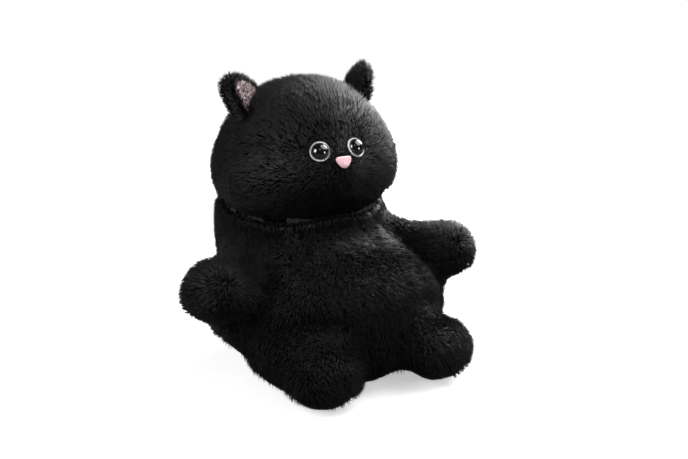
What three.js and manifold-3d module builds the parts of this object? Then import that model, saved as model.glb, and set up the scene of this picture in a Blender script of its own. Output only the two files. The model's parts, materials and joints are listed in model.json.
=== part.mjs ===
// A sitting plush cat of long black fur fabric: sewn panels around stuffing, a bag of pellets in
// the seat, plastic eyes and nose held by washers, and head, ears, arms, legs and tail that bend
// at their seams. Millimetres, +Z up; the cat faces -Y and its own left is +X.
import * as THREE from 'three';
import { mergeVertices } from 'three/addons/utils/BufferGeometryUtils.js';
import Module from 'manifold-3d';

const wasm = await Module();
wasm.setup();

// ---------------------------------------------------------------- driving dimensions
const FUR = 5;                   // a fur panel: its backing and the dense foot of its pile
const SEAM = 0.4;                // gap between pieces that are sewn or pressed together
const PLAY = 0.8;                // gap around whatever bends at a seam

const HEAD_AT = [0, 26, 178];    // middle of the head, which is also where it turns and nods
const HEAD_SKULL = [71, 59, 57];
const HEAD_CHEEK = { at: [27, -4, -16], radii: [51, 52, 41] };
const HEAD_MUZZLE = { at: [0, -12, -8], radii: [36, 57, 30] };
const HEAD_SEAM_Y = 2;           // seam from ear to ear, behind the middle of the head
const HEAD_SEAM_Z = -7;          // seam across the face, at the top of the muzzle
const HEAD_TURN = 25;            // degrees each way
const HEAD_NOD = 12;
const NECK_RADIUS = 36;          // the opening between head and torso
const NECK_DEPTH = 14;           // how deep its stuffing goes into the torso
const NECK_PLAY = 1.4;           // gap around the head wherever it turns and nods

const TORSO_AT = [0, 2, 70];
const CHEST = { at: [0, 28, 103], radii: [71, 57, 58] };
const NAPE = { at: [0, 38, 122], radii: [70, 50, 76] };
const BELLY = { at: [6, -8, 58], radii: [109, 82, 57] };
const BASE = { at: [4, -9, 32], radii: [68, 88, 46] };
const SIDE_SEAM_Y = 14;
const SEAT_SEAM_Z = 7;
const PELLET_BAG = { at: [0, 30], radii: [46, 26], height: 20 };

const EAR_X = 55;                // middle of an ear's seam from the middle of the head
const EAR_WIDTH = 42;
const EAR_HEIGHT = 27;           // above the fur of the head
const EAR_SUNK = 7;              // how far its root goes below that fur
const EAR_CUP = 7;               // how far its edges curl forward
const EAR_LEAN = 32;             // degrees outward
const EAR_TURNS = { left: 80, right: 42 };  // degrees that each ear's hollow faces to the left
const EAR_THICK = 8;
const EAR_TAPER = 0.18;          // how much narrower an ear gets towards its tip
const EAR_ROUNDNESS = 2.4;       // 2 gives a tip like an ellipse's, more a squarer one
const EAR_RIM = 6;               // fur left bare around the lining
const LINING_THICK = 2.5;
const EAR_FOLD = 15;

const EYE_X = 16.5;
const EYE_Z = 10;
const EYE_DIAMETER = 16;
const EYE_RIM = 1.1;             // width of the white rim around the black dome
const EYE_DOME = 5.5;            // height of the dome
const EYE_FLOOR = 1;             // thickness of the ring behind the dome
const EYE_WALL = 2.4;            // height of the ring's rim
const NOSE_Z = 1;
const NOSE_WIDTH = 13;
const NOSE_HEIGHT = 9.5;
const NOSE_THICK = 5;
const NOSE_EDGE = 1.4;           // bevel around it
const FACE_SINK = 2.2;           // how deep eyes and nose sit in the fur
const STEM = 4;                  // diameter of the stems of eyes and nose
const STEM_END = 4;              // how far a stem reaches past its washer
const STEM_PLAY = 0.3;
const WASHER = 12;
const WASHER_THICK = 1.6;
const CLOTH_SLACK = 3.8;         // the cloth curves away from a flat washer by about this much

const ARM = { root: [58, 12, 99], tip: [108, -32, 87], ball: 21, waist: 16, end: 26 };
const ARM_DOWN = 10;
const ARM_UP = 30;
const LEG = { root: [48, -34, 30], tip: [52, -90, 26], ball: 30, waist: 29, end: 27, wide: 1.2 };
const LEG_LIFT = 15;
const FEET_ASIDE = 8;            // both feet point a little to the cat's left
const TAIL = { root: [0, 52, 22], tip: [22, 108, 14], ball: 14, waist: 13, end: 12 };
const TAIL_LIFT = 20;

// how tightly two lobes of one stuffed shape run together, and how many facets shapes have
const BLEND = 9;
const OUTSIDE = [26, 16];
const INSIDE = [18, 12];
const LIMB_SIDES = 14;
const SMALL_SIDES = 16;

// ---------------------------------------------------------------- colours
const BLACK = 0x0b0b0d;
const GLOSS_BLACK = 0x050505;
const WHITE = 0xf4f4f2;
const PINK = 0xf6c9d2;
const FILL = 0xe9e6df;
const COTTON = 0xcfcabd;

// ---------------------------------------------------------------- solids
const vec = (list) => new THREE.Vector3(...list);
const plus = (a, b) => a.map((value, i) => value + b[i]);

// A closed three.js geometry as a solid that can be joined and cut.
function solid(geometry, matrix = new THREE.Matrix4()) {
  let bare = geometry.index ? geometry.toNonIndexed() : geometry.clone();
  bare.deleteAttribute('normal');
  bare.deleteAttribute('uv');
  bare = mergeVertices(bare, 1e-4);
  bare.applyMatrix4(matrix);
  const kept = [];
  const index = bare.index.array;
  for (let i = 0; i < index.length; i += 3) {
    const [a, b, c] = [index[i], index[i + 1], index[i + 2]];
    if (a !== b && b !== c && c !== a) kept.push(a, b, c);
  }
  return new wasm.Manifold(new wasm.Mesh({
    numProp: 3,
    vertProperties: new Float32Array(bare.attributes.position.array),
    triVerts: new Uint32Array(kept),
  }));
}

// The biggest body of a cut solid; what a cut leaves beside it is waste cloth.
function largest(cut) {
  return cut.decompose().sort((a, b) => b.volume() - a.volume())[0];
}

const without = (piece, rooms) => rooms.reduce((rest, room) => rest.subtract(room), piece);

function geometryOf(cut) {
  const mesh = cut.getMesh();
  const geometry = new THREE.BufferGeometry();
  geometry.setAttribute('position', new THREE.BufferAttribute(mesh.vertProperties, 3));
  geometry.setIndex(new THREE.BufferAttribute(mesh.triVerts, 1));
  geometry.computeVertexNormals();
  return geometry;
}

const [X, Y, Z] = [0, 1, 2];

// Everything on one side of a plane across an axis: beyond `from`, towards `side`.
function half(axis, from, side) {
  const size = 800;
  const at = [0, 0, 0];
  at[axis] = from + side * size / 2;
  return solid(new THREE.BoxGeometry(size, size, size), new THREE.Matrix4().makeTranslation(...at));
}

// The rows and columns of a closed round surface, from its lower pole to its upper one.
function roundGeometry(point, around, rows) {
  const corners = [];
  const corner = (i, j) => point(2 * Math.PI * (i % around) / around, Math.PI * (j / rows - 0.5));
  for (let i = 0; i < around; i += 1) {
    for (let j = 0; j < rows; j += 1) {
      const [a, b, c, d] = [corner(i, j), corner(i + 1, j), corner(i + 1, j + 1), corner(i, j + 1)];
      if (j > 0) corners.push(a, b, c);
      if (j < rows - 1) corners.push(a, c, d);
    }
  }
  return new THREE.BufferGeometry().setFromPoints(corners);
}

// How far it is from an inner point to an ellipsoid's wall, one way.
function reach(lobe, from, way) {
  const start = vec(from).sub(vec(lobe.at)).divide(vec(lobe.radii));
  const step = way.clone().divide(vec(lobe.radii));
  const [a, b, c] = [step.dot(step), start.dot(step), start.dot(start) - 1];
  return (-b + Math.sqrt(b * b - a * c)) / a;
}

// A stuffed shape: lobes run together around one middle, `depth` under the fur, flat on the floor.
function stuffed(middle, lobes, depth) {
  return (azimuth, elevation) => {
    const level = Math.cos(elevation);
    const way = new THREE.Vector3(
      level * Math.cos(azimuth), level * Math.sin(azimuth), Math.sin(elevation));
    const sum = lobes.reduce((total, lobe) => total + reach(lobe, middle, way) ** BLEND, 0);
    const spot = way.multiplyScalar(sum ** (1 / BLEND) - depth).add(vec(middle));
    spot.z = Math.max(spot.z, depth);
    return spot;
  };
}

// Points of an arc around a place on an axis, in degrees; at the axis itself it ends exactly on it.
function arc(middle, radius, from, to, steps) {
  const points = [];
  for (let i = 0; i <= steps; i += 1) {
    const degrees = from + (to - from) * i / steps;
    const angle = THREE.MathUtils.degToRad(degrees);
    const across = Math.abs(degrees) === 90 ? 0 : radius * Math.cos(angle);
    points.push(new THREE.Vector2(across, middle + radius * Math.sin(angle)));
  }
  return points;
}

// A limb: a rounded root, a slimmer waist and a ball at its end, along its own Y.
function limbOutline(limb, grow) {
  const length = vec(limb.tip).distanceTo(vec(limb.root));
  return [
    ...arc(0, limb.ball + grow, -90, 0, 3),
    new THREE.Vector2(limb.waist + grow, length / 2),
    ...arc(length, limb.end + grow, -35, 90, 5),
  ];
}

// Where a limb lies: X along the axis that it swings about, Y from root to tip.
function limbMatrix(limb) {
  const way = vec(limb.tip).sub(vec(limb.root)).normalize();
  const axis = swingAxis(limb);
  const basis = new THREE.Matrix4().makeBasis(axis, way, axis.clone().cross(way));
  return basis.setPosition(...limb.root).scale(new THREE.Vector3(limb.wide ?? 1, 1, 1));
}

function limbSolid(limb, grow) {
  return solid(new THREE.LatheGeometry(limbOutline(limb, grow), LIMB_SIDES), limbMatrix(limb));
}

// The level axis that a limb swings up and down about.
function swingAxis(limb) {
  const way = vec(limb.tip).sub(vec(limb.root));
  return new THREE.Vector3(way.y, -way.x, 0).normalize();
}

// The room that a limb needs in the torso: a cup around its root and a funnel that opens as wide
// as it swings, from `low` to `high` degrees.
function limbRoom(limb) {
  const { degToRad } = THREE.MathUtils;
  const reach = vec(limb.tip).distanceTo(vec(limb.root));
  const flare = Math.max(0, Math.asin((limb.end - limb.ball) / reach),
    Math.asin((limb.waist - limb.ball) / (reach / 2)));
  const open = degToRad((limb.high - limb.low) / 2) + flare;
  const radius = (limb.ball + PLAY) / Math.cos(Math.PI / LIMB_SIDES);
  const length = 2 * reach;
  const points = [new THREE.Vector2(0, -radius)];
  const steps = 5;
  for (let i = 1; i <= steps; i += 1) {
    const angle = -Math.PI / 2 + (Math.PI / 2 - open) * i / steps;
    points.push(new THREE.Vector2(radius * Math.cos(angle), radius * Math.sin(angle)));
  }
  const start = points.at(-1);
  points.push(new THREE.Vector2(start.x + length * Math.tan(open), start.y + length));
  points.push(new THREE.Vector2(0, start.y + length));
  const middle = (limb.high + limb.low) / 2;
  const place = turnAbout(limb.root, swingAxis(limb), middle).multiply(limbMatrix(limb));
  return solid(new THREE.LatheGeometry(points, LIMB_SIDES), place);
}

// A turn by an angle about an axis through a point.
function turnAbout(point, axis, degrees) {
  return new THREE.Matrix4().makeTranslation(...point)
    .multiply(new THREE.Matrix4().makeRotationAxis(axis, THREE.MathUtils.degToRad(degrees)))
    .multiply(new THREE.Matrix4().makeTranslation(...point.map((value) => -value)));
}

const mirrored = (limb) => ({
  ...limb, root: [-limb.root[0], limb.root[1], limb.root[2]],
  tip: [-limb.tip[0], limb.tip[1], limb.tip[2]],
});

const aside = (limb) => ({ ...limb, tip: plus(limb.tip, [FEET_ASIDE, 0, 0]) });

// ---------------------------------------------------------------- the model
const cat = new THREE.Group();
cat.name = 'plush_cat';

// Where each moving piece bends: the point, the axis and the degrees each way.
const hinges = {};

function add(name, piece, color, roughness) {
  const material = new THREE.MeshStandardMaterial({ color, roughness, metalness: 0 });
  const mesh = new THREE.Mesh(piece.isBufferGeometry ? piece : geometryOf(piece), material);
  mesh.name = name;
  cat.add(mesh);
  return mesh;
}

// ---------------------------------------------------------------- limbs, and the room they need
const LIMBS = {
  left_arm: { ...ARM, low: -ARM_DOWN, high: ARM_UP, upper: 'top', lower: 'under' },
  right_arm: { ...mirrored(ARM), low: -ARM_DOWN, high: ARM_UP, upper: 'top', lower: 'under' },
  left_leg: { ...aside(LEG), low: 0, high: LEG_LIFT, upper: 'top', lower: 'sole' },
  right_leg: { ...aside(mirrored(LEG)), low: 0, high: LEG_LIFT, upper: 'top', lower: 'sole' },
  tail: { ...TAIL, low: 0, high: TAIL_LIFT, upper: 'top', lower: 'under' },
};

const aboveFloor = half(Z, 0, 1);
const limbRooms = Object.values(LIMBS).map(limbRoom);

for (const [name, limb] of Object.entries(LIMBS)) {
  const axis = swingAxis(limb);
  const place = limbMatrix(limb);
  hinges[name] = { at: limb.root, axis: axis.toArray(), from: limb.low, to: limb.high };

  // the cloth starts at the seam around the root; behind it the stuffing fills the whole ball
  const shell = limbSolid(limb, 0).subtract(limbSolid(limb, -FUR)).intersect(aboveFloor);
  const cloth = shell.intersect(half(Y, 0, 1).transform(place.elements));
  const way = vec(limb.tip).sub(vec(limb.root)).normalize();
  const tilt = new THREE.Quaternion().setFromAxisAngle(axis, Math.asin(way.z));
  const level = new THREE.Matrix4().compose(vec(limb.root), tilt, new THREE.Vector3(1, 1, 1));
  const upper = cloth.intersect(half(Z, SEAM / 2, 1).transform(level.elements));
  const lower = cloth.intersect(half(Z, -SEAM / 2, -1).transform(level.elements));
  add(`${name}_${limb.upper}_panel`, largest(upper), BLACK, 0.9);
  add(`${name}_${limb.lower}_panel`, largest(lower), BLACK, 0.9);

  const root = limbSolid(limb, 0).intersect(half(Y, -SEAM, -1).transform(place.elements));
  const fill = limbSolid(limb, -FUR - SEAM).add(root).intersect(half(Z, FUR + SEAM, 1));
  add(`${name}_stuffing`, largest(fill), FILL, 0.95);
}

// ---------------------------------------------------------------- head
const headLobes = [
  { at: HEAD_AT, radii: HEAD_SKULL },
  ...[-1, 1].map((side) => ({
    at: plus(HEAD_AT, [side * HEAD_CHEEK.at[0], HEAD_CHEEK.at[1], HEAD_CHEEK.at[2]]),
    radii: HEAD_CHEEK.radii,
  })),
  { at: plus(HEAD_AT, HEAD_MUZZLE.at), radii: HEAD_MUZZLE.radii },
];
const headSurface = (depth) => stuffed(HEAD_AT, headLobes, depth);
const headSolid = (depth, facets = INSIDE) =>
  solid(roundGeometry(headSurface(depth), ...facets));

// The room that the head sweeps as it turns and nods about its own middle.
function headRoomGeometry() {
  const samples = 5;
  const surface = headSurface(0);
  const reachOf = (way) => {
    const spot = surface(Math.atan2(way.y, way.x), Math.asin(THREE.MathUtils.clamp(way.z, -1, 1)));
    return spot.distanceTo(vec(HEAD_AT));
  };
  return roundGeometry((azimuth, elevation) => {
    const level = Math.cos(elevation);
    const way = new THREE.Vector3(
      level * Math.cos(azimuth), level * Math.sin(azimuth), Math.sin(elevation));
    let far = 0;
    for (let i = 0; i < samples; i += 1) {
      for (let j = 0; j < samples; j += 1) {
        const turn = THREE.MathUtils.degToRad(HEAD_TURN * (2 * i / (samples - 1) - 1));
        const nod = THREE.MathUtils.degToRad(HEAD_NOD * (2 * j / (samples - 1) - 1));
        const back = way.clone().applyAxisAngle(new THREE.Vector3(0, 0, 1), turn)
          .applyAxisAngle(new THREE.Vector3(1, 0, 0), nod);
        far = Math.max(far, reachOf(back));
      }
    }
    return way.multiplyScalar(far + NECK_PLAY).add(vec(HEAD_AT));
  }, ...OUTSIDE);
}
const headRoom = solid(headRoomGeometry());

// A column in the neck opening, `grow` wider than its stuffing, up to the middle of the head.
const neckFloor = HEAD_AT[2] - HEAD_SKULL[2] - NECK_DEPTH;
function neckColumn(grow) {
  const radius = NECK_RADIUS - SEAM + grow;
  const low = neckFloor - grow;
  const column = new THREE.CylinderGeometry(radius, radius, HEAD_AT[2] - low, 24);
  column.rotateX(Math.PI / 2);
  const middle = (low + HEAD_AT[2]) / 2;
  return solid(column, new THREE.Matrix4().makeTranslation(HEAD_AT[0], HEAD_AT[1], middle));
}

// ---------------------------------------------------------------- torso
const torsoLobes = [CHEST, NAPE, BELLY, BASE];
const torsoSolid = (depth, facets = INSIDE) =>
  solid(roundGeometry(stuffed(TORSO_AT, torsoLobes, depth), ...facets));
const torsoRoom = [headRoom, ...limbRooms];
const torsoCloth = without(torsoSolid(0, OUTSIDE).subtract(torsoSolid(FUR)), torsoRoom);
const wall = SEAM / 2;
const aboveSeat = torsoCloth.intersect(half(Z, SEAT_SEAM_Z + wall, 1));
const torsoBack = aboveSeat.intersect(half(Y, SIDE_SEAM_Y + wall, 1));
add('belly_panel', largest(aboveSeat.intersect(half(Y, SIDE_SEAM_Y - wall, -1))), BLACK, 0.9);
add('left_back_panel', largest(torsoBack.intersect(half(X, wall, 1))), BLACK, 0.9);
add('right_back_panel', largest(torsoBack.intersect(half(X, -wall, -1))), BLACK, 0.9);
add('seat_panel', largest(torsoCloth.intersect(half(Z, SEAT_SEAM_Z - wall, -1))), BLACK, 0.9);

// A cushion of pellets on the seat's cloth.
function pelletBag(grow) {
  const [x, y] = PELLET_BAG.at;
  const low = FUR + SEAM;
  const [a, b] = PELLET_BAG.radii;
  const outline = [new THREE.Vector2(0, 0), ...arc(0, 1, 0, 90, 4)];
  const dome = new THREE.LatheGeometry(outline, SMALL_SIDES);
  dome.rotateX(Math.PI / 2);
  dome.scale(a + grow, b + grow, PELLET_BAG.height + grow);
  return solid(dome, new THREE.Matrix4().makeTranslation(x, y, low));
}
const bagRoom = pelletBag(SEAM);
const bag = pelletBag(0).intersect(torsoSolid(FUR + SEAM));
add('pellet_bag', largest(without(bag, torsoRoom)), COTTON, 0.8);
const fillRoom = [...torsoRoom, neckColumn(SEAM), bagRoom];
add('torso_stuffing', largest(without(torsoSolid(FUR + SEAM), fillRoom)), FILL, 0.95);

hinges.neck = { at: HEAD_AT, axis: [0, 0, 1], from: -HEAD_TURN, to: HEAD_TURN };
hinges.head = { at: HEAD_AT, axis: [1, 0, 0], from: -HEAD_NOD, to: HEAD_NOD };

// The stuffing that fills the neck opening, between torso and head.
add('neck_stuffing', largest(neckColumn(0).subtract(headRoom)), FILL, 0.95);

// ---------------------------------------------------------------- places on the head's fur
// The spot `x` to the side and `z` above the middle of the head, on the front of its fur.
function faceSpot(x, z) {
  const surface = headSurface(0);
  let [near, far] = [0, 120];
  while (far - near > 0.01) {
    const y = (near + far) / 2;
    const way = new THREE.Vector3(x, -y, z);
    const fur = surface(Math.atan2(-y, x), Math.asin(z / way.length()));
    if (fur.distanceTo(vec(HEAD_AT)) > way.length()) near = y;
    else far = y;
  }
  return new THREE.Vector3(x, -near, z).add(vec(HEAD_AT));
}

// A place there, with Y straight out of the fur and Z upward.
function facePlace(x, z) {
  const step = 3;
  const across = faceSpot(x + step, z).sub(faceSpot(x - step, z));
  const along = faceSpot(x, z + step).sub(faceSpot(x, z - step));
  const out = across.cross(along).normalize();
  const side = out.clone().cross(new THREE.Vector3(0, 0, 1)).normalize();
  const basis = new THREE.Matrix4().makeBasis(side, out, side.clone().cross(out));
  return basis.setPosition(faceSpot(x, z));
}

// A turned piece around its own Y, from its outline of [radius, height] points.
function turnedPiece(points, place) {
  const outline = points.map(([radius, height]) => new THREE.Vector2(radius, height));
  return solid(new THREE.LatheGeometry(outline, SMALL_SIDES), place);
}

// A round bar along its own Y.
const rod = (radius, low, high, place) =>
  turnedPiece([[0, low], [radius, low], [radius, high], [0, high]], place);

// ---------------------------------------------------------------- eyes and nose
const washerTop = -FUR - CLOTH_SLACK;
const washerFoot = washerTop - WASHER_THICK;
const stemFoot = washerFoot - STEM_END;
const outOfFur = 12;           // a hole runs at least this far out of the cloth
const faceHoles = [];
const fillHoles = [];

// What holds a plastic piece from inside: the hole in the cloth and the washer on its stem.
function fasten(name, place) {
  const hole = STEM / 2 + STEM_PLAY;
  const rim = WASHER / 2;
  faceHoles.push(rod(STEM / 2 + SEAM, washerTop, outOfFur, place));
  faceHoles.push(rod(rim + SEAM, washerFoot, washerTop + SEAM, place));
  fillHoles.push(rod(rim + SEAM, stemFoot - SEAM, outOfFur, place));
  const outline = [[hole, washerFoot], [rim, washerFoot], [rim, washerTop], [hole, washerTop],
    [hole, washerFoot]];
  add(`${name}_washer`, turnedPiece(outline, place), WHITE, 0.6);
}

for (const [name, side] of [['left', 1], ['right', -1]]) {
  const place = facePlace(side * EYE_X, EYE_Z);
  const rim = EYE_DIAMETER / 2;
  const dome = rim - EYE_RIM;
  const back = -FACE_SINK;
  const floor = back + EYE_FLOOR;
  const top = back + EYE_WALL;
  const hole = STEM / 2 + STEM_PLAY;
  faceHoles.push(rod(rim + SEAM, back - SEAM, outOfFur, place));

  const ring = [[hole, back], [rim, back], [rim, (floor + top) / 2], [dome + STEM_PLAY, top],
    [dome + STEM_PLAY, floor], [hole, floor], [hole, back]];
  add(`${name}_eye_ring`, turnedPiece(ring, place), WHITE, 0.35);

  const foot = floor + STEM_PLAY;
  const bulge = arc(0, 1, 0, 90, 4).map(({ x, y }) => [dome * x, top - STEM_PLAY + EYE_DOME * y]);
  const eye = [[0, stemFoot], [STEM / 2, stemFoot], [STEM / 2, foot], [dome, foot], ...bulge];
  add(`${name}_eye`, turnedPiece(eye, place), GLOSS_BLACK, 0.06);
  fasten(`${name}_eye`, place);
}

// The nose: a triangle with round corners, wide at the top, `grow` larger all round.
function noseSolid(place, grow, low, high) {
  const [w, h] = [NOSE_WIDTH / 2 + grow, NOSE_HEIGHT / 2 + grow];
  const outline = new THREE.Shape();
  outline.moveTo(-w * 0.55, -h);
  outline.quadraticCurveTo(-w * 1.25, -h, -w * 0.9, -h * 0.1);
  outline.quadraticCurveTo(-w * 0.45, h, 0, h);
  outline.quadraticCurveTo(w * 0.45, h, w * 0.9, -h * 0.1);
  outline.quadraticCurveTo(w * 1.25, -h, w * 0.55, -h);
  outline.lineTo(-w * 0.55, -h);
  const body = new THREE.ExtrudeGeometry(outline, {
    depth: high - low - 2 * NOSE_EDGE, curveSegments: 4, bevelSize: NOSE_EDGE,
    bevelOffset: -NOSE_EDGE, bevelThickness: NOSE_EDGE, bevelSegments: 1,
  });
  body.translate(0, 0, low + NOSE_EDGE);
  body.rotateX(-Math.PI / 2);
  return solid(body, place);
}

const nosePlace = facePlace(0, NOSE_Z);
const noseStem = rod(STEM / 2, stemFoot, NOSE_EDGE - FACE_SINK, nosePlace);
const noseBody = noseSolid(nosePlace, 0, -FACE_SINK, NOSE_THICK - FACE_SINK);
add('nose', noseBody.add(noseStem), PINK, 0.85);
faceHoles.push(noseSolid(nosePlace, SEAM + NOSE_EDGE, -FACE_SINK - SEAM - NOSE_EDGE, outOfFur));
fasten('nose', nosePlace);

// ---------------------------------------------------------------- ears
// One layer of an ear, `from` to `to` behind its front sheet, cupped and narrowing to a round tip.
function earLayer(width, height, from, to, base = 0) {
  const across = 6;
  const up = 5;
  const point = (i, j, depth) => {
    const rise = j / up;
    const round = Math.sqrt(Math.max(0, 1 - rise ** EAR_ROUNDNESS));
    const edge = width / 2 * round * (1 - EAR_TAPER * rise);
    const x = edge * Math.sin((2 * i / across - 1) * Math.PI / 2);
    const curl = EAR_CUP * (x / (EAR_WIDTH / 2)) ** 2;
    return new THREE.Vector3(x, depth - curl, base + rise * height);
  };
  const corners = [];
  const quad = (a, b, c, d) => corners.push(a, b, c, a, c, d);
  for (let j = 0; j < up; j += 1) {
    for (let i = 0; i < across; i += 1) {
      quad(point(i, j, from), point(i + 1, j, from), point(i + 1, j + 1, from), point(i, j + 1, from));
      quad(point(i + 1, j, to), point(i, j, to), point(i, j + 1, to), point(i + 1, j + 1, to));
    }
    quad(point(0, j, to), point(0, j, from), point(0, j + 1, from), point(0, j + 1, to));
    quad(point(across, j, from), point(across, j, to), point(across, j + 1, to),
      point(across, j + 1, from));
  }
  for (let i = 0; i < across; i += 1) {
    quad(point(i, 0, to), point(i + 1, 0, to), point(i + 1, 0, from), point(i, 0, from));
  }
  return new THREE.BufferGeometry().setFromPoints(corners);
}

// Where an ear stands: on the head's side, leaning outward, with its hollow turned.
function earPlace(side, turned) {
  const lean = THREE.MathUtils.degToRad(side * EAR_LEAN);
  const surface = headSurface(0);
  const angle = Math.acos(EAR_X / HEAD_SKULL[0]);
  const root = surface(side > 0 ? 0 : Math.PI, angle);
  const stance = new THREE.Matrix4().makeRotationY(lean)
    .multiply(new THREE.Matrix4().makeRotationZ(THREE.MathUtils.degToRad(turned)));
  const sunk = new THREE.Vector3(0, 0, -EAR_SUNK).applyMatrix4(stance);
  return stance.setPosition(root.add(sunk).setY(HEAD_AT[1] + HEAD_SEAM_Y));
}

const earRooms = [];
for (const [name, side] of [['left', 1], ['right', -1]]) {
  const place = earPlace(side, EAR_TURNS[name]);
  const pivot = new THREE.Vector3().setFromMatrixPosition(place);
  const lining = earLayer(EAR_WIDTH - 2 * EAR_RIM, EAR_HEIGHT - EAR_RIM, -LINING_THICK - SEAM, -SEAM,
    EAR_SUNK);
  add(`${name}_ear_back`, solid(earLayer(EAR_WIDTH, EAR_HEIGHT + EAR_SUNK, 0, EAR_THICK), place),
    BLACK, 0.9);
  add(`${name}_ear_lining`, solid(lining, place), PINK, 0.85);
  const axis = new THREE.Vector3().setFromMatrixColumn(place, 0);
  hinges[`${name}_ear`] = {
    at: pivot.toArray(), axis: axis.toArray(), from: -EAR_FOLD, to: EAR_FOLD,
  };
  for (const angle of [-EAR_FOLD, 0, EAR_FOLD]) {
    const room = earLayer(EAR_WIDTH + 2 * PLAY, EAR_HEIGHT, -LINING_THICK - SEAM - PLAY,
      EAR_THICK + PLAY, -PLAY);
    earRooms.push(solid(room, turnAbout(pivot.toArray(), axis, angle).multiply(place)));
  }
}

// ---------------------------------------------------------------- head cloth and stuffing
const headCloth = without(headSolid(0, OUTSIDE).subtract(headSolid(FUR)), [
  neckColumn(SEAM), ...earRooms]);
const frontCloth = without(
  headCloth.intersect(half(Y, HEAD_AT[1] + HEAD_SEAM_Y - wall, -1)), faceHoles);
const backCloth = headCloth.intersect(half(Y, HEAD_AT[1] + HEAD_SEAM_Y + wall, 1));
const faceSeam = HEAD_AT[2] + HEAD_SEAM_Z;
add('face_panel', largest(frontCloth.intersect(half(Z, faceSeam + wall, 1))), BLACK, 0.9);
add('muzzle_panel', largest(frontCloth.intersect(half(Z, faceSeam - wall, -1))), BLACK, 0.9);
add('left_head_panel', largest(backCloth.intersect(half(X, wall, 1))), BLACK, 0.9);
add('right_head_panel', largest(backCloth.intersect(half(X, -wall, -1))), BLACK, 0.9);
const headFill = headSolid(FUR + SEAM).add(headSolid(0, OUTSIDE).intersect(neckColumn(0)));
add('head_stuffing', largest(without(headFill, [...earRooms, ...fillHoles])), FILL, 0.95);

// ---------------------------------------------------------------- the frame
// The origin is the middle of the toy's box, on the surface that it sits on.
const box = new THREE.Box3().setFromObject(cat);
const middle = box.getCenter(new THREE.Vector3());
cat.position.set(-middle.x, -middle.y, -box.min.z);
cat.userData.hinges = hinges;

export default cat;
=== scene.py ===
# %% [markdown]
# # A black plush cat, sitting with its arms out
#
# The toy is long-pile cloth sewn into bags and filled with polyester fibre. Its hard parts
# are two domed safety eyes with white rims and a small flocked nose. This lesson builds what
# shows of it around a frame: the imported CAD model, which says where each piece is, how big
# it is and which body it moves with. We start by loading that frame.

# %% Load the frame
import json
import math
import bpy
import numpy as np
from mathutils import Matrix, Vector, kdtree
from mathutils.bvhtree import BVHTree


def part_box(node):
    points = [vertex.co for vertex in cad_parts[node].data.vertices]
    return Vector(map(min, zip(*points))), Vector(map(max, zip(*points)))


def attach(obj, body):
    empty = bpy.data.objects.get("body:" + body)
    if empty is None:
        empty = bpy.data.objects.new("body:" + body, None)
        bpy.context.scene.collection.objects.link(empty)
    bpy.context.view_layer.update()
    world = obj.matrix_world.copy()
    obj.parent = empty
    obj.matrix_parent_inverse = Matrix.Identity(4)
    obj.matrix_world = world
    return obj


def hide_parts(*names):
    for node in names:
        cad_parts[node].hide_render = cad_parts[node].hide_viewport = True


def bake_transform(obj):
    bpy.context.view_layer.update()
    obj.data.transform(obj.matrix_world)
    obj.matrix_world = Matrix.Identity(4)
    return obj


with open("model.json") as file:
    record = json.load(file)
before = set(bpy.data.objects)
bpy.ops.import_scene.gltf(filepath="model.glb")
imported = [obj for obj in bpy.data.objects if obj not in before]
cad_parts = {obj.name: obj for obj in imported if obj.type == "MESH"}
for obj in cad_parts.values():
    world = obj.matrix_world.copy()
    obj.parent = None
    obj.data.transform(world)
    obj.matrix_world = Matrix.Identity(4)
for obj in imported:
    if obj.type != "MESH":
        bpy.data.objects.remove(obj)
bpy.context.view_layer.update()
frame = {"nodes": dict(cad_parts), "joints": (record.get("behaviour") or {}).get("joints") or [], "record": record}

# %% [markdown]
# ## The camera
#
# A product picture of a small toy is usually taken from a little above it and from not very
# far away. The camera here looks at the cat from its front right. Its place is written as a
# direction and a distance from a point near the middle of the cat, which is easier to think
# about than three coordinates, and a track quaternion then points it.

# %% Camera
AZIMUTH = -29.7
ELEVATION = 16.9
DISTANCE = 0.8001
LOOK_AT = Vector((0.0243, -0.0016, 0.1092))


def towards(azimuth, elevation):
    """The direction from the cat to something at these angles; azimuth 0 is in front of it."""
    a, e = math.radians(azimuth), math.radians(elevation)
    return Vector((math.sin(a) * math.cos(e), -math.cos(a) * math.cos(e), math.sin(e)))


bpy.ops.object.camera_add(location=LOOK_AT + DISTANCE * towards(AZIMUTH, ELEVATION))
camera = bpy.context.object
camera.rotation_euler = (-towards(AZIMUTH, ELEVATION)).to_track_quat("-Z", "Y").to_euler()
camera.data.sensor_width = 36
camera.data.lens = 49.0
camera.data.clip_start = 0.01
bpy.context.scene.camera = camera
print("camera at", [round(v, 3) for v in camera.location])

# %% [markdown]
# ## The floor and the light
#
# Black fur shows its shape only where light grazes it, and a bright floor and sky would fill
# it with grey from all sides. So floor and world are bright only where the camera looks at
# them; as a source of light the floor is dark and the sky is dim.

# %% Floor
bpy.ops.mesh.primitive_plane_add(size=60, location=(0, 0, 0))
floor = bpy.context.object
floor.name = "floor"
paper = bpy.data.materials.new("white paper")
paper.use_nodes = True
nodes, links = paper.node_tree.nodes, paper.node_tree.links
lit = nodes["Principled BSDF"]
lit.inputs["Base Color"].default_value = (0.78, 0.77, 0.78, 1)
lit.inputs["Roughness"].default_value = 0.9
lit.inputs["Specular IOR Level"].default_value = 0.1
lit.inputs["Emission Color"].default_value = (1, 0.985, 0.985, 1)
lit.inputs["Emission Strength"].default_value = 0.5
dark = nodes.new("ShaderNodeBsdfDiffuse")
dark.inputs["Color"].default_value = (0.12, 0.12, 0.12, 1)


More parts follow.
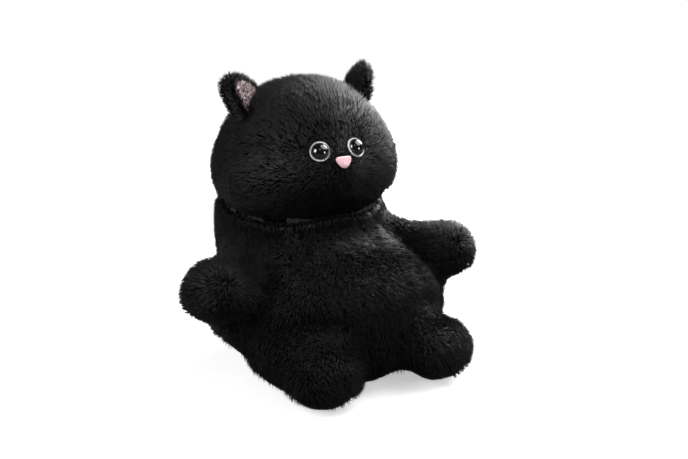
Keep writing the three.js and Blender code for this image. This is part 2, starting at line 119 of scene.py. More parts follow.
def seen_or_not(nodes, links, hidden, looked_at, output):
    """One shader where the camera looks at it, and another for the light that it throws."""
    path = nodes.new("ShaderNodeLightPath")
    either = nodes.new("ShaderNodeMixShader")
    links.new(path.outputs["Is Camera Ray"], either.inputs["Fac"])
    links.new(hidden, either.inputs[1])
    links.new(looked_at, either.inputs[2])
    links.new(either.outputs["Shader"], nodes[output].inputs["Surface"])


seen_or_not(nodes, links, dark.outputs["BSDF"], lit.outputs["BSDF"], "Material Output")
floor.data.materials.append(paper)
print("floor:", floor.name)

# %% [markdown]
# The key light is a wide sun, so that its shadow is soft. The other four are panels: one
# behind the cat's left that draws its edge, one at its right, and two weak ones in front for
# the chest and the feet. A helper places each by its angles, as the camera was placed.

# %% Light


def light(name, kind, azimuth, elevation, strength, size, distance=1.5):
    """A light that stands at these angles from the cat; a sun's size is in degrees."""
    where = LOOK_AT + distance * towards(azimuth, elevation)
    bpy.ops.object.light_add(type=kind, location=where)
    lamp = bpy.context.object
    lamp.name = name
    lamp.rotation_euler = towards(azimuth, elevation).to_track_quat("Z", "Y").to_euler()
    lamp.data.energy = strength
    if kind == "SUN":
        lamp.data.angle = math.radians(size)
    else:
        lamp.data.size = size


light("key", "SUN", 66, 54, 2.5, size=50)
light("rim", "AREA", 110, 34, 24, distance=1.1, size=0.6)
light("side", "AREA", -84, 26, 16, distance=1.2, size=0.6)
light("front", "AREA", -20, 48, 1.0, distance=1.6, size=0.4)
light("low", "AREA", 30, 10, 5, distance=1.2, size=0.3)

world = bpy.data.worlds.new("studio")
world.use_nodes = True
bpy.context.scene.world = world
nodes, links = world.node_tree.nodes, world.node_tree.links
dim = nodes["Background"]
dim.inputs["Color"].default_value = (0.96, 0.97, 1, 1)
dim.inputs["Strength"].default_value = 0.05
pale = nodes.new("ShaderNodeBackground")
pale.inputs["Color"].default_value = (0.8, 0.8, 0.8, 1)
pale.inputs["Strength"].default_value = 1.0
seen_or_not(nodes, links, dim.outputs["Background"], pale.outputs["Background"], "World Output")
bpy.context.scene.view_settings.view_transform = "Standard"

# %% [markdown]
# ## Finishes
#
# Every finish is a Principled shader. What is the same all over a surface is typed on the
# shader itself; what varies comes from noise in the object's own coordinates, so it keeps
# its scale in millimetres. The pile's colour also follows a value that each lock carries
# from its root to its tip: the root is painted darker, as painted shade among the locks.

# %% Finish helpers


def finish_of(name, colour, roughness, **sockets):
    """A new Principled material; further words set its other sockets."""
    made = bpy.data.materials.new(name)
    made.use_nodes = True
    shader = made.node_tree.nodes["Principled BSDF"]
    shader.inputs["Base Color"].default_value = (*colour, 1)
    shader.inputs["Roughness"].default_value = roughness
    for socket, value in sockets.items():
        shader.inputs[socket.replace("_", " ")].default_value = value
    return made


def noise(made, scale, detail=3.0):
    """A noise texture whose pattern is scale to the metre, in the object's own coordinates."""
    tree = made.node_tree
    where = tree.nodes.new("ShaderNodeTexCoord")
    pattern = tree.nodes.new("ShaderNodeTexNoise")
    pattern.inputs["Scale"].default_value = scale
    pattern.inputs["Detail"].default_value = detail
    tree.links.new(where.outputs["Object"], pattern.inputs["Vector"])
    return pattern.outputs["Fac"]


def blend_colours(made, factor, low, high, start=0.35, end=0.65):
    """Colours a finish from low to high as the factor goes from start to end."""
    tree = made.node_tree
    ramp = tree.nodes.new("ShaderNodeValToRGB")
    ramp.color_ramp.elements[0].position = start
    ramp.color_ramp.elements[0].color = (*low, 1)
    ramp.color_ramp.elements[1].position = end
    ramp.color_ramp.elements[1].color = (*high, 1)
    tree.links.new(factor, ramp.inputs["Fac"])
    tree.links.new(ramp.outputs["Color"], tree.nodes["Principled BSDF"].inputs["Base Color"])


def bumps(made, factor, height):
    """Small relief, height metres deep, on the surface."""
    tree = made.node_tree
    relief = tree.nodes.new("ShaderNodeBump")
    relief.inputs["Distance"].default_value = height
    relief.inputs["Strength"].default_value = 1.0
    tree.links.new(factor, relief.inputs["Height"])
    tree.links.new(relief.outputs["Normal"], tree.nodes["Principled BSDF"].inputs["Normal"])


print("helpers for finishes are ready")

# %% [markdown]
# The fur is so dark that what shows of it is mostly the broad, faint gloss of its tips. The
# pink pile of the ears is pale and has more sheen. The eyes are the only polished pieces; a
# clear coat gives them their wet look. What lies inside is fibrous, woven or moulded.

# %% Finishes


def pile_finish(name, root, tip, roughness, gloss, sheen):
    """A pile painted darker at its root, as shade among the locks, and lighter at its tip, with patches."""
    made = finish_of(name, tip, roughness, Specular_IOR_Level=gloss, Sheen_Weight=sheen,
                     Sheen_Roughness=0.4)
    tree = made.node_tree
    rise = tree.nodes.new("ShaderNodeAttribute")
    rise.attribute_name = "rise"
    patches = noise(made, 130, 4)
    product = tree.nodes.new("ShaderNodeMath")
    product.operation = "MULTIPLY"
    tree.links.new(rise.outputs["Fac"], product.inputs[0])
    tree.links.new(patches, product.inputs[1])
    # Painted shade: each lock's root takes the darker root colour, and the patches vary the rest at random.
    blend_colours(made, product.outputs["Value"], root, tip, start=0.05, end=0.6)
    return made


# The first colour of each pile is its root colour, painted darker as shade among the locks.
black_fur = pile_finish("black pile", (0.0004, 0.0004, 0.0005), (0.003, 0.003, 0.0038),
                        roughness=0.4, gloss=0.22, sheen=0.02)
backing = finish_of("black backing", (0.004, 0.004, 0.005), 0.9)
bumps(backing, noise(backing, 900), 0.0003)
pink_plush = pile_finish("pink pile", (0.86, 0.62, 0.66), (0.95, 0.8, 0.82),
                         roughness=0.8, gloss=0.4, sheen=0.3)
pink_backing = finish_of("pink backing", (0.8, 0.52, 0.57), 0.9)
bumps(pink_backing, noise(pink_backing, 1500), 0.0002)
flock = finish_of("pink flock", (0.85, 0.44, 0.5), 0.85, Sheen_Weight=0.3)
blend_colours(flock, noise(flock, 900, 5), (0.76, 0.38, 0.44), (0.95, 0.64, 0.69))
bumps(flock, noise(flock, 2500, 4), 0.0004)
eye_black = finish_of("glossy black", (0.002, 0.002, 0.002), 0.05, Coat_Weight=0.5,
                      Coat_Roughness=0.03)
blend_colours(eye_black, noise(eye_black, 60), (0.001, 0.001, 0.001), (0.004, 0.0035, 0.003))
eye_white = finish_of("white rim", (0.85, 0.85, 0.83), 0.3)
blend_colours(eye_white, noise(eye_white, 300), (0.82, 0.82, 0.8), (0.88, 0.88, 0.87))
nylon = finish_of("moulded nylon", (0.8, 0.8, 0.77), 0.45)
blend_colours(nylon, noise(nylon, 200), (0.76, 0.76, 0.73), (0.84, 0.84, 0.82))
bumps(nylon, noise(nylon, 3000), 0.00005)
fibre = finish_of("polyester fibre", (0.8, 0.79, 0.76), 0.95, Sheen_Weight=0.2)
blend_colours(fibre, noise(fibre, 90, 8), (0.72, 0.7, 0.66), (0.88, 0.87, 0.85))
bumps(fibre, noise(fibre, 250, 10), 0.002)
cotton = finish_of("cotton bag", (0.6, 0.57, 0.5), 0.9)
blend_colours(cotton, noise(cotton, 700, 2), (0.5, 0.47, 0.4), (0.68, 0.65, 0.58))
bumps(cotton, noise(cotton, 1400), 0.0003)
print("finishes:", len(bpy.data.materials))

# %% [markdown]
# ## Skins
#
# Under the pile is the cloth, stretched smooth by the filling. The CAD panels have its shape
# but are faceted shells with gaps between them. A voxel remesh turns joined copies of them,
# with their filling, into one closed surface. Swelling the copies before it and shrinking
# the result after it closes narrow gaps, as a sewn seam does. Smoothing then takes the
# facets away. The skin ends up a few millimetres inside the CAD solid, because that solid
# also stands for the dense foot of the pile.

# %% Skin helpers
SEWN_GAP = 0.0004


def pick(*objects):
    """Selects these objects only, the first of them active."""
    bpy.ops.object.select_all(action="DESELECT")
    for one in objects:
        one.select_set(True)
    bpy.context.view_layer.objects.active = objects[0]


def modify(piece, kind, **settings):
    """Adds a modifier, sets it and applies it."""
    pick(piece)
    bpy.ops.object.modifier_add(type=kind)
    modifier = piece.modifiers[-1]
    for key, value in settings.items():
        setattr(modifier, key, value)
    bpy.ops.object.modifier_apply(modifier=modifier.name)


def swell(piece, by):
    modify(piece, "DISPLACE", strength=by, mid_level=0)


def remesh(piece, voxel):
    modify(piece, "REMESH", mode="VOXEL", voxel_size=voxel, use_smooth_shade=True)


def smooth(piece, times):
    modify(piece, "SMOOTH", iterations=times, factor=0.5)


def joined_copy(name, node_names):
    """One new object from copies of CAD nodes, with their doubled corners merged."""
    copies = []
    for node in node_names:
        copy = bpy.data.objects.new(name, frame["nodes"][node].data.copy())
        bpy.context.scene.collection.objects.link(copy)
        copies.append(copy)
    pick(*copies)
    if len(copies) > 1:
        bpy.ops.object.join()
    piece = copies[0]
    bpy.ops.object.mode_set(mode="EDIT")
    bpy.ops.mesh.select_all(action="SELECT")
    bpy.ops.mesh.remove_doubles(threshold=1e-6)
    bpy.ops.object.mode_set(mode="OBJECT")
    piece.data.materials.clear()
    return piece


def outermost(piece):
    """Drops the small closed bubbles that a remesh can leave inside."""
    pick(piece)
    bpy.ops.object.mode_set(mode="EDIT")
    bpy.ops.mesh.select_all(action="SELECT")
    bpy.ops.mesh.separate(type="LOOSE")
    bpy.ops.object.mode_set(mode="OBJECT")
    shells = sorted(bpy.context.selected_objects, key=lambda o: len(o.data.vertices))
    name = piece.name
    keep = shells.pop()
    for shell in shells:
        bpy.data.objects.remove(shell)
    keep.name = name
    return keep


def grown_skin(name, node_names, voxel, inset, close=0.0, smoothing=12):
    """A closed, smooth surface inset metres inside CAD nodes.

    Creases between them that are narrower than twice close fill up.
    """
    piece = joined_copy(name, node_names)
    swell(piece, SEWN_GAP)
    remesh(piece, voxel)
    piece = outermost(piece)
    if close:
        smooth(piece, 3)
        swell(piece, close)
        remesh(piece, voxel)
        piece = outermost(piece)
    smooth(piece, smoothing)
    swell(piece, -close - SEWN_GAP - inset)
    piece.data.materials.clear()
    print(name, len(piece.data.polygons), "faces")
    return piece


print("seams up to", 2000 * SEWN_GAP, "mm wide close")

# %% [markdown]
# The head is remeshed with its filling, its nose and the rims of its eyes in place, so that
# the holes for them close. The ears are thin, so their voxels are finer.

# %% Skins of head and ears
HEAD_VOXEL = 0.0035
EAR_VOXEL = 0.0015
SKIN_INSET = 0.003
EAR_INSET = 0.001
HEAD = ["face_panel", "muzzle_panel", "left_head_panel", "right_head_panel"]
HEAD_INSIDE = ["head_stuffing", "left_eye_ring", "right_eye_ring", "left_eye_washer",
               "right_eye_washer", "nose_washer", "nose"]
skins = {"head": grown_skin("head_skin", HEAD + HEAD_INSIDE, HEAD_VOXEL, SKIN_INSET)}
for side in ("left", "right"):
    skins[f"{side}_ear"] = grown_skin(f"{side}_ear_skin", [f"{side}_ear_back"], EAR_VOXEL,
                                      EAR_INSET, smoothing=4)

# %% [markdown]
# The cloth of the body runs on into the limbs without a step: where an arm or a leg is
# sewn on, the filling pushes the seam out until it hardly shows. So torso, limbs and tail are
# first remeshed as one, with the creases between them filled, and then cut apart along the
# seams, each face going to the CAD panel nearest to it. The head goes into that remesh
# as well, so that the torso's cloth rises to meet it, and its share is then thrown away.

# %% One skin for torso, limbs and tail
TORSO = ["belly_panel", "left_back_panel", "right_back_panel", "seat_panel"]
LIMBS = {
    "left_arm": ["left_arm_top_panel", "left_arm_under_panel"],
    "right_arm": ["right_arm_top_panel", "right_arm_under_panel"],
    "left_leg": ["left_leg_top_panel", "left_leg_sole_panel"],
    "right_leg": ["right_leg_top_panel", "right_leg_sole_panel"],
    "tail": ["tail_top_panel", "tail_under_panel"],
}
LIMB_PANELS = [panel for panels in LIMBS.values() for panel in panels]
STUFFED = ["torso", "neck", "head", *LIMBS]
BODY_VOXEL = 0.004
CREASE = 0.008
everything = TORSO + LIMB_PANELS + HEAD + [f"{body}_stuffing" for body in STUFFED]
body_skin = grown_skin("torso_skin", everything, BODY_VOXEL, SKIN_INSET, close=CREASE,
                       smoothing=14)

# %% [markdown]
# Which panel is nearest to a face could be tried corner by corner, but a search tree over
# each panel's faces answers it quickly. An uncut copy of the skin is kept until the pile is
# planted: it has no open edges, so locks stand evenly across the seams.

# %% Cutting it apart
BODY_OF = {node: body for body, nodes in frame["record"]["behaviour"]["bodies"].items()
           for node in nodes}


def tree_of(piece):
    """A search tree over a piece's faces."""
    return BVHTree.FromPolygons([v.co for v in piece.data.vertices],
                                [p.vertices for p in piece.data.polygons])


def nearest_of(places, names):
    """For each place, which of these CAD nodes is nearest to it, as a number in the list."""
    if len(names) == 1:
        return np.zeros(len(places), int)
    trees = [tree_of(frame["nodes"][name]) for name in names]
    away = [[tree.find_nearest(place)[3] for place in places] for tree in trees]
    return np.array(away).argmin(0)


def split_off(piece, faces, name):
    """Cuts these faces off a piece, as a piece of their own."""
    pick(piece)
    bpy.ops.object.mode_set(mode="EDIT")
    bpy.ops.mesh.select_all(action="DESELECT")
    bpy.ops.object.mode_set(mode="OBJECT")
    piece.data.polygons.foreach_set("select", faces)
    bpy.ops.object.mode_set(mode="EDIT")
    bpy.ops.mesh.separate(type="SELECTED")
    bpy.ops.object.mode_set(mode="OBJECT")
    part = next(o for o in bpy.context.selected_objects if o is not piece)
    part.name = name
    return part


body_whole = bpy.data.objects.new("body_whole", body_skin.data.copy())
bpy.context.scene.collection.objects.link(body_whole)
candidates = TORSO + LIMB_PANELS + HEAD
sewn_to = [BODY_OF[name] for name in candidates]
for body in ("head", *LIMBS):
    middles = np.array([p.center for p in body_skin.data.polygons])
    owner = nearest_of(middles, candidates)
    mine = np.array([sewn_to[i] == body for i in owner])
    part = split_off(body_skin, mine, f"{body}_part")
    if body == "head":
        bpy.data.objects.remove(part)
    else:
        part.name = f"{body}_skin"
        skins[body] = part
skins["torso"] = body_skin
print({body: len(skin.data.polygons) for body, skin in skins.items()})

# %% [markdown]
# A limb swings about the joint at its root, which lies inside the torso. The joint's place
# comes from the record; the way the limb points comes from the corner of its panels that is
# farthest from the joint. A piece of any other body moves with that body; a limb's piece
# stays where it is.

# %% Where limbs point
JOINT_AT = {joint["child"]: np.array(joint["pos_m"]) for joint in frame["joints"]}


def points_of(node):
    return np.array([v.co for v in frame["nodes"][node].data.vertices])


def limb_line(limb):
    """A limb's joint, the way it points, and how far its end is."""
    spread = np.concatenate([points_of(panel) for panel in LIMBS[limb]]) - JOINT_AT[limb]
    far = spread[np.linalg.norm(spread, axis=1).argmax()]
    length = np.linalg.norm(far)
    return JOINT_AT[limb], far / length, length


def follow(piece, body):
    """A piece that is not a limb's moves with its body; a limb's piece stays where it is."""
    if body not in LIMBS:
        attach(piece, body)
        return
    joint, way, _ = limb_line(body)
    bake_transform(piece)


def give(piece, body, finish):
    """Every piece gets a finish and is handed to follow with its body."""
    piece.data.materials.clear()
    piece.data.materials.append(finish)
    follow(piece, body)


CLOTH = 0.0012
for body, skin in skins.items():
    if body in LIMBS or body == "torso":
        modify(skin, "SOLIDIFY", thickness=CLOTH, offset=-1)
    give(skin, body, backing)
print(len(skins), "skins follow their bodies")

# %% [markdown]
# A lifted limb draws the cloth apart under its seam. The real toy has one layer of cloth
# that stretches; here a second skin lies beneath, made of each body's own panels closed
# around its filling, so that what the gap shows is mostly cloth. Where limb and torso part
# the farthest, some filling is still seen.

# %% Under-skins
UNDER_INSET = 0.0045
LOWEST = 0.001
for body, panels in {"torso": TORSO, **LIMBS}.items():
    under = grown_skin(f"{body}_underskin", panels + [f"{body}_stuffing"], BODY_VOXEL,
                       UNDER_INSET, smoothing=4)
    for vertex in under.data.vertices:
        vertex.co.z = max(vertex.co.z, LOWEST)
    under.data.materials.append(backing)
    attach(under, body)
    for panel in panels:
        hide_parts(panel)

# %% [markdown]
# ## The pile
#
# Long pile could be a particle system, but hair is lost when a model is exported. Here each
# lock of pile is a small closed spike instead: a cone with three sides, cut once across so
# that it can bend. It is modelled once. The locks are then set on the skins by their
# thousands: each is turned to its skin's normal, leant the way the pile is brushed, pulled
# a little towards the tips of its neighbours, as real pile clumps, and kept off the floor.

# %% One lock
bpy.ops.object.select_all(action="DESELECT")
bpy.ops.mesh.primitive_cone_add(vertices=3, radius1=1, radius2=0, depth=1, location=(0, 0, 0.5))
lock = bpy.context.object
bpy.ops.object.mode_set(mode="EDIT")
bpy.ops.mesh.select_all(action="SELECT")
bpy.ops.mesh.bisect(plane_co=(0, 0, 0.45), plane_no=(0, 0, 1))
bpy.ops.transform.resize(value=(1.35, 1.35, 1), center_override=(0, 0, 0.45))
bpy.ops.mesh.select_all(action="SELECT")
bpy.ops.mesh.quads_convert_to_tris()
bpy.ops.object.mode_set(mode="OBJECT")
bpy.ops.object.transform_apply(location=True, rotation=True, scale=True)
lock_points = np.array([v.co for v in lock.data.vertices])
lock_faces = np.array([list(p.vertices) for p in lock.data.polygons])
bpy.data.objects.remove(lock)
print("one lock:", len(lock_points), "points,", len(lock_faces), "faces")

# %% [markdown]
# Locks stand evenly over the cloth, so a place is drawn by running along the skin's
# triangles as if they were laid end to end, each as long as it is large. A lock whose root
# lies inside another piece is left out. The test for that counts how often a line leaves
# the other skin, which is right at sharp edges too.

# %% Where locks grow
STRAIGHT_OUT = Vector((0.36, -0.48, 0.8))


def unit(rows):
    return rows / np.maximum(np.linalg.norm(rows, axis=1, keepdims=True), 1e-9)


def threes(source, key, kind=float):
    """One value of three numbers from each item of a mesh's list, as rows."""
    rows = np.zeros(3 * len(source), kind)
    source.foreach_get(key, rows)
    return rows.reshape(-1, 3)


def scatter(skin, per_mm2, rng):
    """Places spread evenly over a skin, each with the skin's smooth normal."""
    mesh = skin.data
    mesh.calc_loop_triangles()
    corners = threes(mesh.loop_triangles, "vertices", int)
    points = threes(mesh.vertices, "co")
    normals = threes(mesh.vertices, "normal")
    a, b, c = (points[corners[:, i]] for i in range(3))
    area = np.linalg.norm(np.cross(b - a, c - a), axis=1) / 2
    count = int(area.sum() * 1e6 * per_mm2)
    steps = (np.arange(count) + rng.random(count)) / count * area.sum()
    chosen = np.searchsorted(np.cumsum(area), steps).clip(0, len(area) - 1)
    u, v = rng.random(count), rng.random(count)
    u, v = np.where(u + v > 1, 1 - u, u), np.where(u + v > 1, 1 - v, v)
    share = np.stack([1 - u - v, u, v], 1)[:, :, None]
    place = (points[corners[chosen]] * share).sum(1)
    normal = (normals[corners[chosen]] * share).sum(1)
    return place, unit(normal)


def inside(skin, tree, places):
    """Which places lie inside a closed skin: a line out crosses it an odd number of times."""
    low, high = np.array(skin.bound_box).min(0), np.array(skin.bound_box).max(0)
    found = np.zeros(len(places), bool)
    for i in np.flatnonzero(((places > low) & (places < high)).all(1)):
        start, crossings = Vector(places[i]), 0
        while True:
            hit = tree.ray_cast(start, STRAIGHT_OUT)[0]
            if hit is None:
                break
            crossings += 1
            start = hit + 1e-6 * STRAIGHT_OUT
        found[i] = crossings % 2 == 1
    return found


print("places can be drawn and tested")

# %% [markdown]
# A lock starts near its skin's normal and bends over towards the way it is brushed, more so
# at its tip. A slow swirl and a little chance keep the pile from looking combed by machine.
# One lock in about twenty leads a clump, and the locks around it lean to its tip. Under the
# toy, where nobody looks, the locks are fewer and lie flat.

# %% Growing locks
UNDERSIDE_SHARE = 0.4
SWIRL = 0.35
STRAY = 0.22
FLAT = np.radians(80)
CLUMP_LEADERS = 0.045
CLUMP_PULL = 0.45
FLOOR_GAP = 0.0003


def grow(skin, comb, length, width, per_mm2, seed, clear_of=None, lean=48, trim=None):
    """The locks of one skin: their corner points, (locks, corners, 3), and their roots."""
    rng = np.random.default_rng(seed)
    root, up = scatter(skin, per_mm2, rng)
    keep = np.ones(len(root), bool)
    if clear_of is not None:
        keep &= ~inside(clear_of, tree_of(clear_of), root)
    keep &= (up[:, 2] > -0.75) | (rng.random(len(root)) < UNDERSIDE_SHARE)
    root, up = root[keep], up[keep]

    along = comb(root, up)
    swirl = np.sin(root @ rng.normal(0, 160, (3, 3)) + rng.random(3) * 6)
    along = unit(along + SWIRL * swirl + rng.normal(0, STRAY, root.shape))
    along = unit(along - up * (along * up).sum(1, keepdims=True))
    side = np.cross(up, along)

    size = length * rng.uniform(0.75, 1.12, len(root))
    if trim is not None:
        size *= trim(root)
    bend = np.radians(lean * rng.uniform(0.7, 1.25, len(root)))
    bend = np.where(up[:, 2] < -0.5, FLAT, bend)
    thick = width * rng.uniform(0.8, 1.2, len(root))

    high = lock_points[:, 2]
    angle = bend[:, None] * (0.35 + 0.65 * high[None, :])
    rise = (size[:, None] * high * np.cos(angle))[:, :, None] * up[:, None, :]
    reach = (size[:, None] * high * np.sin(angle))[:, :, None] * along[:, None, :]
    across = thick[:, None, None] * (lock_points[None, :, 0, None] * side[:, None, :]
                                     + lock_points[None, :, 1, None] * along[:, None, :])
    points = root[:, None, :] + rise + reach + across

    tip = root + (rise + reach)[:, high.argmax()]
    leaders = np.flatnonzero(rng.random(len(root)) < CLUMP_LEADERS)
    clumps = kdtree.KDTree(len(leaders))
    for i, leader in enumerate(leaders):
        clumps.insert(root[leader], i)
    clumps.balance()
    nearest = leaders[[clumps.find(place)[1] for place in root]]
    shift = (tip[nearest] - tip) * (CLUMP_PULL * rng.random(len(root)))[:, None]
    points += shift[:, None, :] * (high ** 1.5)[None, :, None]
    points[:, :, 2] = np.maximum(points[:, :, 2], FLOOR_GAP)
    return points, root


print("about one lock in", round(1 / CLUMP_LEADERS), "leads a clump")

# %% [markdown]
# A mesh for each lock would be far too many. Each CAD panel gets one mesh of all the locks
# nearest to it, or a few, from side to side, when there are very many. Every corner carries
# how high up its lock it stands, which is what the fur's colour follows.

# %% Planting locks
LOCKS_PER_PIECE = 19000


def locks_piece(name, points):
    """One mesh of many locks."""
    count, corners = len(points), len(lock_points)
    faces = (lock_faces[None] + corners * np.arange(count)[:, None, None]).reshape(-1)
    mesh = bpy.data.meshes.new(name)
    mesh.vertices.add(count * corners)
    mesh.vertices.foreach_set("co", points.reshape(-1))
    mesh.loops.add(len(faces))
    mesh.loops.foreach_set("vertex_index", faces)
    mesh.polygons.add(len(faces) // 3)
    mesh.polygons.foreach_set("loop_start", np.arange(0, len(faces), 3))
    mesh.polygons.foreach_set("use_smooth", np.ones(len(faces) // 3, bool))
    # rise is 0 at a lock's root and 1 at its tip; the pile finish paints the root darker as painted shade.
    rise = mesh.attributes.new("rise", "FLOAT", "POINT")
    rise.data.foreach_set("value", np.tile(lock_points[:, 2], count))
    mesh.update(calc_edges=True)
    piece = bpy.data.objects.new(name, mesh)
    bpy.context.scene.collection.objects.link(piece)
    return piece


def plant(points, root, panels, finish):
    """Gives each CAD panel the locks nearest to it, in pieces that stay small enough."""
    owner = nearest_of(root, panels)
    for i, panel in enumerate(panels):
        own = points[owner == i]
        order = np.argsort(root[owner == i][:, 0])
        parts = max(1, math.ceil(len(own) / LOCKS_PER_PIECE))
        for part, share in enumerate(np.array_split(order, parts)):
            name = f"{panel}_pile" if parts == 1 else f"{panel}_pile_{part + 1}"
            piece = locks_piece(name, own[share])
            give(piece, BODY_OF[panel], finish)
            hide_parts(panel)
            print(name, len(share), "locks")


print("at most", LOCKS_PER_PIECE, "locks go into one piece")

# %% [markdown]
# ## Which way the pile is brushed
#
# On the head the pile runs out from the nose in every direction, over the cheeks and the
# crown, and down at the back. On the body it runs down. A paw's pile fans out from a point
# at its front. Close to the eyes and the nose the pile is trimmed short, so that they show,
# but less so below them. It is longer on the crown, and where head and torso lie close to
# each other, so that the crease between them closes.

# %% Brushing


def middle(node):
    low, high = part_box(node)
    return (np.array(low) + np.array(high)) / 2


nose_tip = middle("nose")
head_middle = middle("head_stuffing")
EYE_CLEAR = 0.0078
NOSE_CLEAR = 0.0055
KEPT_SHORT = [(middle("left_eye_ring"), EYE_CLEAR), (middle("right_eye_ring"), EYE_CLEAR),
              (nose_tip, NOSE_CLEAR)]
PILE = 0.009
LOCK_WIDTH = 0.00052
PER_MM2 = 0.95
PAW_RADIUS = 0.026


def from_nose(place, up):
    out = unit(place - nose_tip)
    back = ((place[:, 1] - head_middle[1]) / 0.06).clip(0, 1)[:, None]
    return unit((1 - back) * out + back * np.array([0, 0.2, -1]))


def short_near_eyes(place):
    """1 far from eyes and nose, about half beside them, a tenth under them."""
    size = np.ones(len(place))
    for spot, rim in KEPT_SHORT:
        away = np.linalg.norm(place - spot, axis=1)
        under = ((spot[2] - place[:, 2]) / rim).clip(0, 1)
        size = np.minimum(size, 0.45 + 0.3 * under + 0.55 * ((away - rim) / 0.018).clip(0, 1))
        size = np.where(away < rim, 0.1, size)
    return size


def fuller_beside(other):
    """Longer pile within reach of another skin, so that the crease between them closes."""
    tree = tree_of(other)

    def factor(place):
        away = np.array([tree.find_nearest(Vector(spot))[3] for spot in place])
        return 1 + 0.6 * (1 - away / 0.014).clip(0, 1)
    return factor


def crown(place):
    """The pile stands a little longer on top of the head."""
    return 1 + 0.35 * ((place[:, 2] - head_middle[2] - 0.02) / 0.03).clip(0, 1)


def downward(place):
    out = place - np.array([0, 0.01, 0.08])
    out[:, 2] = 0
    return unit(0.45 * unit(out) + np.array([0, 0, -1]))


def away_from(point):
    return lambda place, up: unit(place - point)


def paw_front(limb):
    """The point at a paw's front that its pile fans out from."""
    joint, way, length = limb_line(limb)
    side = 1 if joint[0] > 0 else -1
    forward = unit(np.array([[-0.17 * side, -0.82, 0.55]]))[0]
    return joint + way * (length - PAW_RADIUS) + PAW_RADIUS * forward


def body_brush(place, up):
    """Down over the torso and legs, out from the front of each paw, along the tail."""
    owner = np.array([sewn_to[i] for i in nearest_of(place, candidates)])
    brushed = downward(place)
    for limb in LIMBS:
        here = owner == limb
        way = limb_line(limb)[1]
        if "arm" in limb:
            brushed[here] = unit(place[here] - paw_front(limb))
        elif "leg" in limb:
            brushed[here] = unit(brushed[here] + 0.5 * way)
        else:
            brushed[here] = way
    return brushed


print("nose at", [round(1000 * v, 1) for v in nose_tip])

# %% [markdown]
# Now the black locks are planted, about one on each square millimetre. Each seed is written
# down, so that the pile comes out the same every time.

# %% Pile of the head
beside_torso = fuller_beside(skins["torso"])
points, root = grow(skins["head"], from_nose, PILE, LOCK_WIDTH, PER_MM2, 11,
                    trim=lambda place: short_near_eyes(place) * beside_torso(place) * crown(place))
plant(points, root, HEAD, black_fur)

# %% [markdown]
# The body is planted as a whole, and each lock then goes to the panel nearest to it. Locks
# whose roots lie inside the head are left out.

# %% Pile of torso, limbs and tail
points, root = grow(body_whole, body_brush, PILE * 1.05, LOCK_WIDTH, PER_MM2, 12,
                    clear_of=skins["head"], trim=fuller_beside(skins["head"]))
mine = np.array([sewn_to[i] != "head" for i in nearest_of(root, candidates)])
plant(points[mine], root[mine], TORSO + LIMB_PANELS, black_fur)
bpy.data.objects.remove(body_whole)

# %% [markdown]
# An ear's pile runs out from its root. It is a little shorter and denser than the head's,
# because an ear is a small, thin piece whose edge should stay clear.

# %% Pile of the ears
for seed, side in enumerate(("left", "right"), start=31):
    ear = f"{side}_ear"
    low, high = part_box(f"{ear}_back")
    base = np.array([(low[0] + high[0]) / 2 * 0.8, (low[1] + high[1]) / 2, low[2]])
    points, root = grow(skins[ear], away_from(base), PILE * 0.85, LOCK_WIDTH, PER_MM2 * 1.2, seed,
                        clear_of=skins["head"], lean=40)
    plant(points, root, [f"{ear}_back"], black_fur)

# %% [markdown]
# ## Ear linings
#
# The inside of each ear is a small piece of short pink plush. Its skin is the CAD lining,
# softened, and its pile is a quarter as long as the black.

# %% Linings
LINING_VOXEL = 0.0008
LINING_INSET = 0.0004
for seed, side in enumerate(("left", "right"), start=41):
    node = f"{side}_ear_lining"
    skin = grown_skin(f"{node}_skin", [node], LINING_VOXEL, LINING_INSET, smoothing=3)
    give(skin, f"{side}_ear", pink_backing)
    base = middle(node)
    base[2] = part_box(node)[0][2]
    points, root = grow(skin, away_from(base), PILE * 0.24, LOCK_WIDTH * 0.6, 2.2, seed, lean=45)
    plant(points, root, [node], pink_plush)

# %% [markdown]
# ## Eyes and nose
#
# A safety eye is a glossy dome in a white cup, held from inside by a washer. Turned pieces
# are easy in Blender: a sphere cut in half and a cylinder with a well in it. The ring's own
# corner points say where its axis lies, so both are built upright at the origin and then
# carried there.

# %% Eyes
EYE_RADIUS = 0.008
RIM_WIDTH = 0.0011
DOME_HEIGHT = 0.0055
DOME_LIFT = 0.0004
CUP_HEIGHT = 0.0026
CUP_WELL = 0.0012
CUP_EDGE = 0.0003
TURNED_EDGE = math.radians(40)


def spot_of(node):
    """Where a ring lies: its middle, and the way its axis points."""
    points = points_of(node)
    centre = points.mean(0)
    axis = Vector(np.linalg.svd(points - centre)[2][2])
    if axis.y > 0:
        axis.negate()
    return Vector(centre), axis


def carry(piece, centre, axis):
    """Moves a piece that was built upright at the origin to its place."""
    pick(piece)
    turn = axis.to_track_quat("Z", "Y").to_matrix().to_4x4()
    piece.matrix_world = Matrix.Translation(centre) @ turn
    bpy.ops.object.transform_apply(location=True, rotation=True, scale=True)


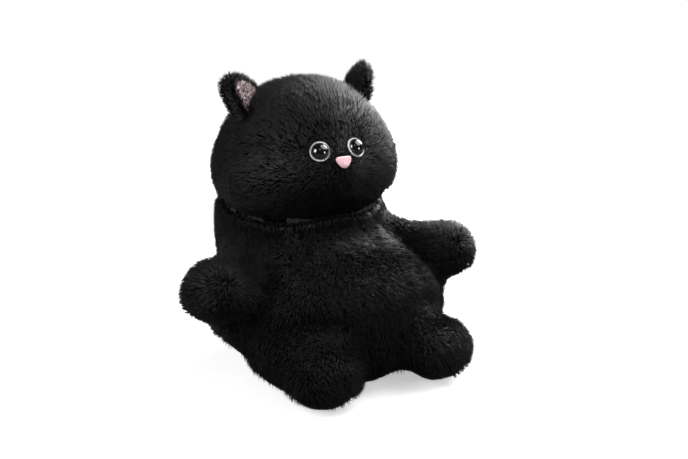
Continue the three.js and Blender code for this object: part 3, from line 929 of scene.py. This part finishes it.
for side in ("left", "right"):
    centre, axis = spot_of(f"{side}_eye_ring")
    bpy.ops.object.select_all(action="DESELECT")
    bpy.ops.mesh.primitive_cylinder_add(vertices=64, radius=EYE_RADIUS, depth=CUP_HEIGHT)
    ring = bpy.context.object
    ring.name = f"{side}_eye_cup"
    bpy.ops.object.mode_set(mode="EDIT")
    bpy.ops.mesh.select_all(action="DESELECT")
    bpy.ops.object.mode_set(mode="OBJECT")
    for face in ring.data.polygons:
        face.select = face.normal.z > 0.9
    bpy.ops.object.mode_set(mode="EDIT")
    bpy.ops.mesh.inset(thickness=RIM_WIDTH)
    bpy.ops.transform.translate(value=(0, 0, -CUP_WELL))
    bpy.ops.object.mode_set(mode="OBJECT")
    modify(ring, "BEVEL", width=CUP_EDGE, segments=3, limit_method="ANGLE")
    carry(ring, centre, axis)
    give(ring, "head", eye_white)
    pick(ring)
    bpy.ops.object.shade_smooth_by_angle(angle=TURNED_EDGE)
    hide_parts(f"{side}_eye_ring")

    bpy.ops.object.select_all(action="DESELECT")
    dome_radius = EYE_RADIUS - RIM_WIDTH
    bpy.ops.mesh.primitive_uv_sphere_add(segments=64, ring_count=32, radius=dome_radius)
    dome = bpy.context.object
    dome.name = f"{side}_eye_dome"
    bpy.ops.object.mode_set(mode="EDIT")
    bpy.ops.mesh.select_all(action="SELECT")
    bpy.ops.mesh.bisect(plane_co=(0, 0, 0), plane_no=(0, 0, 1), clear_inner=True, use_fill=True)
    bpy.ops.mesh.select_all(action="SELECT")
    flat = DOME_HEIGHT / dome_radius
    bpy.ops.transform.resize(value=(1, 1, flat), center_override=(0, 0, 0))
    bpy.ops.object.mode_set(mode="OBJECT")
    carry(dome, centre + DOME_LIFT * axis, axis)
    give(dome, "head", eye_black)
    pick(dome)
    bpy.ops.object.shade_smooth_by_angle(angle=TURNED_EDGE)
    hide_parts(f"{side}_eye")
    print(side, "eye at", [round(1000 * v, 1) for v in centre])

# %% [markdown]
# The nose is a hard piece covered in flock, which has no sharp edge. So it keeps its CAD
# outline and only its edges soften; a voxel of half a millimetre is fine enough for that.

# %% Nose
NOSE_VOXEL = 0.0005
nose = joined_copy("nose_flocked", ["nose"])
remesh(nose, NOSE_VOXEL)
smooth(nose, 8)
give(nose, "head", flock)
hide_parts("nose")
print("nose:", len(nose.data.polygons), "faces")

# %% [markdown]
# ## What is inside
#
# Fibre and pellets fill the skins. Nobody sees them, but a part that is taken to pieces
# should have them, so each is a softened copy of its CAD solid; the fibre is a little smaller
# too, so that at rest it stays under the skins. The washers keep their CAD shape and get a
# moulded finish.

# %% Filling
WAD_VOXEL = 0.005
WAD_INSET = 0.006
BAG_VOXEL = 0.003
for body in ("head", "neck", "torso", *LIMBS):
    node = f"{body}_stuffing"
    wad = joined_copy(f"{node}_wad", [node])
    remesh(wad, WAD_VOXEL)
    smooth(wad, 6)
    swell(wad, -WAD_INSET)
    give(wad, body, fibre)
    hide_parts(node)
pellets = joined_copy("pellet_bag_cotton", ["pellet_bag"])
remesh(pellets, BAG_VOXEL)
smooth(pellets, 5)
give(pellets, "torso", cotton)
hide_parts("pellet_bag")
for node in ("left_eye_washer", "right_eye_washer", "nose_washer"):
    frame["nodes"][node].material_slots[0].material = nylon
print("filled")
